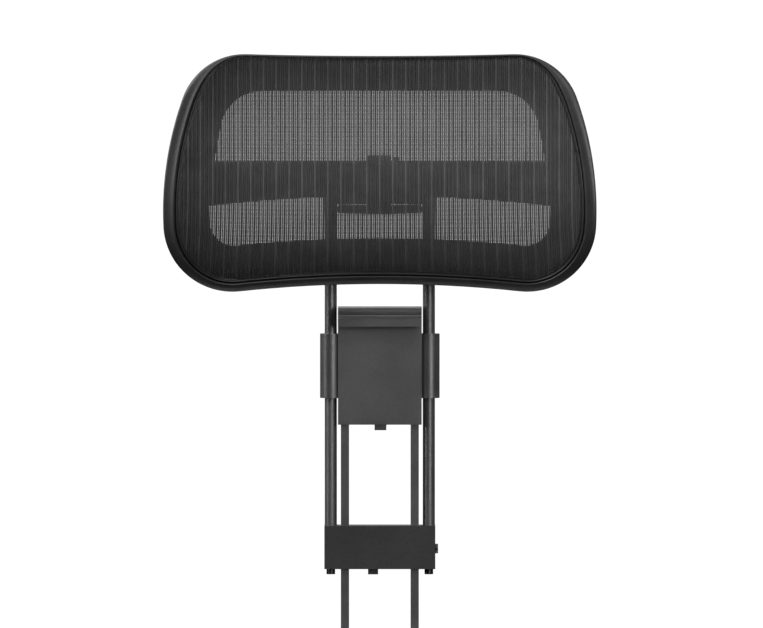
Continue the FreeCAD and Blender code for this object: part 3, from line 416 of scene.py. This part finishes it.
def finish_piece(obj, slot, body, *replaced):
    obj.data.materials.append(MATERIALS[slot])
    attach(obj, body)
    if replaced:
        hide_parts(*replaced)
    return obj


# ---------------------------------------------------------------- rim and mesh carrier

STATIONS = 420

rim_outer = Outline(outer_corners("rim_frame"))


def placed(point, normal, aside, depth):
    """A place in the rim's section: aside outwards from the point, and depth back from the rim's front."""
    x, z = point + normal * aside
    radius = RIM_FRONT + depth + rolled_back(z, depth)
    return (x, float(on_bend(x, radius)), z)


def turned(start, radius, first, last, steps):
    """Places after start round an arc. The angles are of the surface's outward normal from the front, in
    degrees: -90 faces inwards and 90 outwards."""
    points = []
    for step in range(1, steps + 1):
        angle = math.radians(first + (last - first) * step / steps)
        points.append(
            (
                start[0] + radius * (math.sin(angle) - math.sin(math.radians(first))),
                start[1] - radius * (math.cos(angle) - math.cos(math.radians(first))),
            )
        )
    return points


RIM_SIDE, RIM_CROWN, RIM_CHIN = 8.9, 1.3, 6.5  # the rim's width in mm
LIP_RADIUS = 1.4 * MM
EDGE_RADIUS = 2.2 * MM
BAND_TILTS = (4, 24)  # degrees that the band leans outwards, beside the lip and at its outer edge
CORNER_TILT = 36  # how much more it leans at its outer edge in the upper corners
CROWN_DEPTH = 3.2 * MM  # how far back the front of the rim falls along the crown, where it meets the mesh
CROWN_SLOPES = (24, 86)  # directions in degrees above level between which the side turns into the crown
FULL_WIDTH = 8 * MM  # where the rim is narrower than this, its roundings shrink with it
INNER_STEPS = (4 * MM, 2 * MM)  # corners of the rim's inner wall, behind its front
SOCKET_DEPTH = 12 * MM  # how deep the rim's front part is
REAR_EASE = (1.2 * MM, 0.35 * MM)  # how far the rim's rear edge is eased, and what its middle corner keeps


def rim_section(normal, width):
    """Aside and depth round the rim's section: inner wall, tight lip, sloping band, rounded edge and back."""
    size = min(1.0, width / FULL_WIDTH)
    lip, edge = LIP_RADIUS * size, EDGE_RADIUS * size
    inner, outer = BAND_TILTS
    outer += CORNER_TILT * max(normal[1], 0)
    top = CROWN_DEPTH * (1 - fullness(normal))
    section = [(0.0, RIM_DEPTH), (0.0, SOCKET_DEPTH)]
    section += [(0.0, top + step) for step in (*INNER_STEPS, lip)]
    section += turned(section[-1], lip, -90, inner, 8)
    turns = math.sin(math.radians(outer)) - math.sin(math.radians(inner))
    across = width - section[-1][0] - edge * (1 - math.sin(math.radians(outer)))
    section += turned(section[-1], across / turns, inner, outer, 9)
    section += turned(section[-1], edge, outer, 90, 6)
    ease, kept = REAR_EASE
    section += [
        (width, SOCKET_DEPTH + 0.5 * MM),
        (width, RIM_DEPTH - ease),
        (width - kept, RIM_DEPTH - kept),
        (width - ease, RIM_DEPTH),
        (0.5 * width, RIM_DEPTH),
    ]
    return section


def fullness(normal):
    """1 where the rim's outside faces sideways or down, falling to 0 where it faces up along the crown."""
    across, up = normal
    if up <= 0:
        return 1.0
    low, high = CROWN_SLOPES
    share = (high - math.degrees(math.atan2(up, abs(across)))) / (high - low)
    share = min(max(share, 0.0), 1.0)
    return share**2 * (3 - 2 * share)


def rim_width(normal):
    """The rim's width: broad up the sides, narrower below, and only a thin edge along the crown."""
    across, up = normal
    below = RIM_SIDE * across**2 + RIM_CHIN * up**2 if up < 0 else RIM_SIDE
    return (RIM_CROWN + (below - RIM_CROWN) * fullness(normal)) * MM


def rim_stations(count):
    """Places on the rim's inner edge with their outward directions and the rim's width there."""
    outside = rim_outer.spaced(count)
    normals = outward_normals(outside)
    widths = np.array([rim_width(normal) for normal in normals])
    return outside - normals * widths[:, None], normals, widths


def make_rim():
    sections = [
        [placed(point, normal, aside, depth) for aside, depth in rim_section(normal, width)]
        for point, normal, width in zip(*rim_stations(STATIONS))
    ]
    return finish_piece(face_outward(ring("rim", sections)), "rim_plastic", "head", "rim_frame")


def bead(middle, radius, top, height, steps=8):
    """Points over a round bead, from its outer foot to its inner one. Aside is negative inwards."""
    return [
        (
            -(middle - radius * math.cos(math.radians(180 * i / steps))),
            top + height * (1 - math.sin(math.radians(180 * i / steps))),
        )
        for i in range(steps + 1)
    ]


CARRIER_REACH = 3.3 * MM  # how far the carrier comes in from the rim
CARRIER_CROWN = 0.42  # how much of that is left along the crown, where the bead disappears
CARRIER_SINK = 5.5 * MM  # how much deeper the carrier would lie if nothing of it were left
CARRIER_GAP = 0.06 * MM
SEAM = (0.35 * MM, 3.4 * MM)  # width and depth of the seam beside the rim
BEAD = (1.4 * MM, 0.9 * MM, 1.6 * MM, 1.4 * MM)  # the bead's middle, radius, top and height
CREVICE = (2.5 * MM, 3.0 * MM, 4.6 * MM)  # where the crevice begins and ends, and its depth
CREVICE_RISE = 0.4 * MM
SLIT = (-108 * MM, -79 * MM)  # the stretch along the bottom where the crevice opens into a slit
SLIT_DEPTH = 1.6 * MM


def carrier_size(normal):
    return CARRIER_CROWN + (1 - CARRIER_CROWN) * fullness(normal)


def carrier_section(size, in_slit):
    """The seam beside the rim, the bead that traps the mesh, and a crevice next to the mesh."""
    begin, end, floor = CREVICE
    if in_slit:
        floor += SLIT_DEPTH
    sink = CARRIER_SINK * (1 - size)
    seam_width, seam_depth = SEAM
    section = [
        (-CARRIER_GAP, RIM_DEPTH),
        (-CARRIER_GAP, seam_depth + sink),
        (-seam_width * size, seam_depth + sink),
    ]
    section += [(aside * size, depth + sink) for aside, depth in bead(*BEAD)]
    section += [
        (-begin * size, floor),
        (-end * size, floor),
        (-CARRIER_REACH * size, floor - CREVICE_RISE),
        (-CARRIER_REACH * size, RIM_DEPTH),
    ]
    return section


def make_carrier():
    points, normals, _ = rim_stations(STATIONS * 2)
    middle_height = points[:, 1].mean()
    sections = []
    for point, normal in zip(points, normals):
        in_slit = point[1] < middle_height and SLIT[0] < point[0] < SLIT[1]
        section = carrier_section(carrier_size(normal), in_slit)
        sections.append([placed(point, normal, aside, depth) for aside, depth in section])
    return finish_piece(
        face_outward(ring("carrier", sections)), "carrier_plastic", "head", "mesh_carrier"
    )


def mesh_outline():
    """The edge of the mesh, a little way under the carrier."""
    points, normals, _ = rim_stations(STATIONS)
    reach = np.array([CARRIER_REACH * carrier_size(normal) for normal in normals]) - TUCK
    return Outline(points - normals * reach[:, None])


# ---------------------------------------------------------------- woven mesh

PITCH = 3.34 * MM
BAND = (1.68 * MM, 0.5 * MM)  # width and thickness of the broad upright bands
STRAND = (0.94 * MM, 0.42 * MM)  # the same for the thin upright strands between them
WEFT = (0.63 * MM, 0.3 * MM)  # the same for the level threads
WEFT_PITCH = 1.0 * MM
WEFT_LEAN = 0.1 * MM  # how far a level thread rises and falls between its crossings
TUCK = 0.6 * MM  # how far the threads run on under the carrier
SHORTEST = 12 * MM  # a thread shorter than this is left out
STRIPE_EVERY = 6  # of the upright threads, how often one is lighter
MESH_RADIUS = min(bend_radius(v.co) for v in frame["nodes"]["mesh_panel"].data.vertices) + 0.6 * MM


def on_mesh(across, out, z):
    """A place on the mesh: across along its bend from the middle, and out behind its middle surface."""
    radius = MESH_RADIUS + float(rolled_back(z, MESH_RADIUS - RIM_FRONT)) + out
    angle = across / MESH_RADIUS
    return (radius * math.sin(angle), radius * math.cos(angle) - BEND_FRONT, z)


class Threads:
    """Many tubes with closed ends, gathered as one mesh."""

    def __init__(self):
        self.vertices, self.faces, self.slots = [], [], []

    def add(self, rows, slot=0):
        start, count = len(self.vertices), len(rows[0])
        for row in rows:
            self.vertices.extend(row)
        before = len(self.faces)
        for r in range(len(rows) - 1):
            for p in range(count):
                q = (p + 1) % count
                a = start + r * count
                self.faces.append((a + p, a + q, a + count + q, a + count + p))
        self.faces.append(tuple(range(start + count - 1, start - 1, -1)))
        last = start + (len(rows) - 1) * count
        self.faces.append(tuple(range(last, last + count)))
        self.slots.extend([slot] * (len(self.faces) - before))

    def piece(self, name, slot, *replaced):
        obj = face_outward(mesh_object(name, self.vertices, self.faces))
        return finish_piece(obj, slot, "head", *replaced)


def upright_rows(across, low, high, width, thickness):
    """An upright thread with a six-sided section, as rows of points up its length."""
    half, crown = width / 2, thickness / 2
    shape = [
        (-half, 0.0),
        (-half * 0.6, -crown),
        (half * 0.6, -crown),
        (half, 0.0),
        (half * 0.6, crown),
        (-half * 0.6, crown),
    ]
    count = max(3, int((high - low) / (8 * MM)))
    return [
        [on_mesh(across + aside, out, z) for aside, out in shape]
        for z in np.linspace(low, high, count + 1)
    ]


def level_rows(height, low, high, behind):
    """A level thread, three-sided: behind the bands and in front of the strands, or the other way round."""
    half, thick = WEFT[0] / 2, WEFT[1] / 2
    swing = BAND[1] / 2 + 0.7 * thick
    first, last = (MESH_RADIUS * math.asin(x / MESH_RADIUS) for x in (low, high))
    step = PITCH / 2
    stops = [(first, 0)]
    for k in range(math.ceil(first / step), math.floor(last / step) + 1):
        if first + 0.3 * step < k * step < last - 0.3 * step:
            stops.append((k * step, 1 if (k % 2 == 0) == behind else -1))
    rows = []
    for across, side in stops + [(last, 0)]:
        out, z = side * swing, height + side * WEFT_LEAN
        rows.append(
            [
                on_mesh(across, out + thick, z - half),
                on_mesh(across, out - thick, z),
                on_mesh(across, out + thick, z + half),
            ]
        )
    return rows


def make_mesh():
    """The see-through mesh: broad bands and thin strands upright, with level threads woven through them."""
    upright, level = Threads(), Threads()
    edge = mesh_outline()
    count = int(edge.points[:, 0].max() / (PITCH / 2)) + 2
    for i in range(-count, count + 1):
        across = i * PITCH / 2
        x = MESH_RADIUS * math.sin(across / MESH_RADIUS)
        span = edge.crossings(0, x)
        if span and span[1] - span[0] > SHORTEST:
            rows = upright_rows(across, *span, *(STRAND if i % 2 else BAND))
            upright.add(rows, 0 if i % STRIPE_EVERY else 1)
    low, high = edge.points[:, 1].min(), edge.points[:, 1].max()
    for k in range(int((high - low) / WEFT_PITCH)):
        height = low + (k + 0.5) * WEFT_PITCH
        span = edge.crossings(1, height)
        if span and span[1] - span[0] > SHORTEST:
            level.add(level_rows(height, *span, k % 2 == 0))
    warp = upright.piece("mesh_warp", "mesh_fabric", "mesh_panel")
    warp.data.materials.append(MATERIALS["mesh_stripe"])
    warp.data.polygons.foreach_set("material_index", upright.slots)
    weft = level.piece("mesh_weft", "mesh_fabric")
    weft.data.materials[0] = MATERIALS["mesh_weft"]


# ---------------------------------------------------------------- parts that keep their CAD shape


def dress(node, width):
    """Gives a CAD node its material and eases its sharp edges."""
    obj = frame["nodes"][node]
    slot = next(p["material_slot"] for p in frame["record"]["subparts"] if p["node"] == node)
    for holder in obj.material_slots:
        holder.material = MATERIALS[slot]
    weld = obj.modifiers.new("weld", "WELD")
    weld.merge_threshold = 0.002 * MM
    flat = obj.modifiers.new("flat", "DECIMATE")
    flat.decimate_type = "DISSOLVE"
    flat.angle_limit = math.radians(0.4)
    bevel = obj.modifiers.new("ease", "BEVEL")
    bevel.width = width
    bevel.segments = 2
    bevel.limit_method = "ANGLE"
    bevel.angle_limit = math.radians(40)
    bevel.use_clamp_overlap = True
    weighted = obj.modifiers.new("shading", "WEIGHTED_NORMAL")
    weighted.keep_sharp = True


USUAL_EASE = 0.35
# How far the edges of a node are eased in mm, where that isn't the usual amount.
EDGE_EASE = {
    "rear_shell": 0.9,
    "top_hook_bracket": 0.6,
    "carriage_block": 0.9,
    "crosshead": 0.8,
    "tilt_bracket": 0.7,
    "bracket_rear_cover": 0.8,
    "carriage_cover": 0.8,
    "foot_bracket": 0.6,
    "shell_screws": 0.2,
    "bracket_screws": 0.25,
    "cover_screws": 0.2,
    "carriage_screws": 0.2,
    "disc_springs": 0.1,
    "friction_washers": 0.15,
    "hook_pad": 0.3,
}


def dress_cad():
    replaced = {"rim_frame", "mesh_carrier", "mesh_panel"}
    for node in frame["nodes"]:
        if node not in replaced:
            dress(node, EDGE_EASE.get(node, USUAL_EASE) * MM)


# ---------------------------------------------------------------- stage, light and camera


def make_floor():
    """A round pale floor under the foot."""
    low, radius, sides = cad_bounds[0][2], 0.26, 96
    turns = [2 * math.pi * i / sides for i in range(sides)]
    rim = [(radius * math.cos(t), radius * math.sin(t), low) for t in turns]
    obj = mesh_object("floor", rim, [tuple(range(sides))], smooth=False)
    material, _, _, shader = new_material("floor_paint")
    shader.inputs["Base Color"].default_value = (0.8, 0.8, 0.8, 1)
    shader.inputs["Roughness"].default_value = 0.9
    obj.data.materials.append(material)


def area_light(name, place, aim, size, power):
    light = bpy.data.lights.new(name, "AREA")
    light.shape = "RECTANGLE"
    light.size, light.size_y = size
    light.energy = power
    obj = bpy.data.objects.new(name, light)
    obj.location = place
    direction = Vector(aim) - Vector(place)
    obj.rotation_euler = direction.to_track_quat("-Z", "Y").to_euler()
    bpy.context.scene.collection.objects.link(obj)
    obj.visible_camera = False


def make_lights():
    head = (0, 0, 0.1)
    area_light("overhead", (-0.3, 0.1, 1.35), head, (1.5, 1.3), 10)
    area_light("upper_front", (0.6, -1.5, 1.5), head, (1.2, 0.5), 8)
    area_light("upper_left", (-1.3, -0.6, 1.25), head, (0.8, 0.8), 13)
    area_light("front", (0.85, -1.8, 0.4), head, (0.8, 0.9), 8)
    area_light("low_front", (0.9, -1.6, 0.15), (0, 0, 0), (0.7, 0.6), 3)
    area_light("left_strip", (-1.65, -0.8, 0.5), head, (0.4, 1.0), 8)
    area_light("right_strip", (1.6, -0.9, 0.6), head, (0.35, 1.0), 1)
    area_light("left_side", (-1.8, 0.35, 0.5), head, (0.6, 0.9), 2)
    area_light("right_side", (1.8, 0.35, 0.5), head, (0.6, 0.9), 1.5)
    area_light("behind_left", (-1.15, 1.0, 1.0), head, (1.2, 1.2), 20)
    area_light("behind_right", (1.0, 1.15, 1.0), head, (1.0, 1.0), 12)


def make_world():
    """White to the camera. As light, a bright backdrop straight behind the object and little else."""
    world = bpy.data.worlds.new("studio")
    bpy.context.scene.world = world
    world.use_nodes = True
    nodes, links = world.node_tree.nodes, world.node_tree.links
    nodes.clear()
    output = nodes.new("ShaderNodeOutputWorld")
    seen, lit = nodes.new("ShaderNodeBackground"), nodes.new("ShaderNodeBackground")
    seen.inputs["Color"].default_value = (1, 1, 1, 1)
    seen.inputs["Strength"].default_value = 1.05
    lit.inputs["Color"].default_value = (1, 1, 1, 1)
    direction = nodes.new("ShaderNodeSeparateXYZ")
    links.new(nodes.new("ShaderNodeTexCoord").outputs["Generated"], direction.inputs[0])
    backdrop = nodes.new("ShaderNodeMath")
    backdrop.operation = "MULTIPLY"
    links.new(spread(nodes, links, direction.outputs["Y"], 0.80, 0.98, 0.02, 0.9), backdrop.inputs[0])
    links.new(spread(nodes, links, direction.outputs["Z"], -0.2, 0, 0.1, 1), backdrop.inputs[1])
    links.new(backdrop.outputs[0], lit.inputs["Strength"])
    path, mix = nodes.new("ShaderNodeLightPath"), nodes.new("ShaderNodeMixShader")
    links.new(path.outputs["Is Camera Ray"], mix.inputs[0])
    links.new(lit.outputs[0], mix.inputs[1])
    links.new(seen.outputs[0], mix.inputs[2])
    links.new(mix.outputs[0], output.inputs["Surface"])


def make_camera():
    """A long lens in front of the head and a little above it."""
    aim = Vector((1.3 * MM, -20 * MM, 4.3 * MM))
    distance, rise = 8.0, math.radians(2.0)
    width_in_view = 0.5902
    camera = bpy.data.cameras.new("camera")
    camera.sensor_width = 36.0
    camera.lens = camera.sensor_width * distance / width_in_view
    camera.clip_end = 50
    obj = bpy.data.objects.new("camera", camera)
    obj.location = aim + Vector((0, -math.cos(rise), math.sin(rise))) * distance
    obj.rotation_euler = (aim - obj.location).to_track_quat("-Z", "Y").to_euler()
    bpy.context.scene.collection.objects.link(obj)
    bpy.context.scene.camera = obj
    bpy.context.scene.view_settings.view_transform = "Standard"


make_rim()
make_carrier()
make_mesh()
dress_cad()
make_floor()
make_lights()
make_world()
make_camera()
